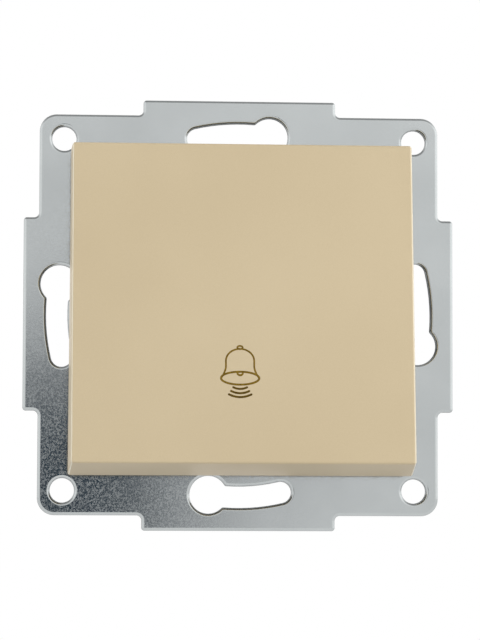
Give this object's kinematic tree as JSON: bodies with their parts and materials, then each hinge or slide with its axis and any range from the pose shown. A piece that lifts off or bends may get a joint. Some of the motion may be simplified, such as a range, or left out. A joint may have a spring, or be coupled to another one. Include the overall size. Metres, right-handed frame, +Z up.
{
  "type": "doorbell push button",
  "caption": "Flush wall-box bell push: rocking gold key with a bell mark on a galvanised steel plate, with sprung contact bridge, screw terminals and spreading claws behind.",
  "frame": {"origin": "centre of the mounting plate on its rear face, where it lies on the wall", "axes": "+X to the right seen from the room, +Y into the wall, +Z up"},
  "size_m": [0.071, 0.0372, 0.071],
  "materials": {
    "galvanised_steel": "spangled zinc",
    "key_paint": "satin champagne",
    "white_plastic": "moulded",
    "housing_plastic": "fine matt",
    "brass": "satin",
    "silver": "bright",
    "zinc_steel": "zinc plated",
    "spring_steel": "drawn wire"
  },
  "bodies": {
    "base": {"mounting_plate": "galvanised_steel", "housing": "housing_plastic", "contact_cover": "white_plastic", "cover_screws": "zinc_steel", "return_spring": "spring_steel", "left_contact_tip": "silver", "left_contact_strip": "brass", "left_terminal": "brass", "left_terminal_screw": "zinc_steel", "left_claw_screw": "zinc_steel", "right_contact_tip": "silver", "right_contact_strip": "brass", "right_terminal": "brass", "right_terminal_screw": "zinc_steel", "right_claw_screw": "zinc_steel"},
    "rocker": {"key": "key_paint", "key_carrier": "white_plastic"},
    "push_rod": {"plunger": "white_plastic", "contact_bridge": "brass", "left_bridge_tip": "silver", "right_bridge_tip": "silver"},
    "left_spreader": {"left_claw": "zinc_steel"},
    "left_drawnut": {"left_claw_nut": "zinc_steel"},
    "right_spreader": {"right_claw": "zinc_steel"},
    "right_drawnut": {"right_claw_nut": "zinc_steel"}
  },
  "joints": [
    {"name": "key_press", "type": "hinge", "parent": "base", "child": "rocker", "pos_m": [0, -0.0015, 0], "axis": [1, 0, 0], "range_deg": [0, 5], "stiffness_Nm_per_rad": 0.5, "springref_deg": -3.44},
    {"name": "plunger_slide", "type": "slide", "parent": "base", "child": "push_rod", "axis": [0, 1, 0], "range_m": [0, 0.0012], "deforming": ["return_spring"]},
    {"name": "left_claw_spread", "type": "slide", "parent": "base", "child": "left_spreader", "axis": [-0.4226, -0.9063, 0], "range_m": [0, 0.007]},
    {"name": "left_nut_draw", "type": "slide", "parent": "base", "child": "left_drawnut", "axis": [0, -1, 0], "range_m": [0, 0.0064]},
    {"name": "right_claw_spread", "type": "slide", "parent": "base", "child": "right_spreader", "axis": [0.4226, -0.9063, 0], "range_m": [0, 0.007]},
    {"name": "right_nut_draw", "type": "slide", "parent": "base", "child": "right_drawnut", "axis": [0, -1, 0], "range_m": [0, 0.0064]}
  ],
  "couplings": [
    {"joint": "plunger_slide", "follows": "key_press", "m_per_rad": 0.0135},
    {"joint": "left_nut_draw", "follows": "left_claw_spread", "ratio": 0.90631},
    {"joint": "right_nut_draw", "follows": "right_claw_spread", "ratio": 0.90631}
  ]
}
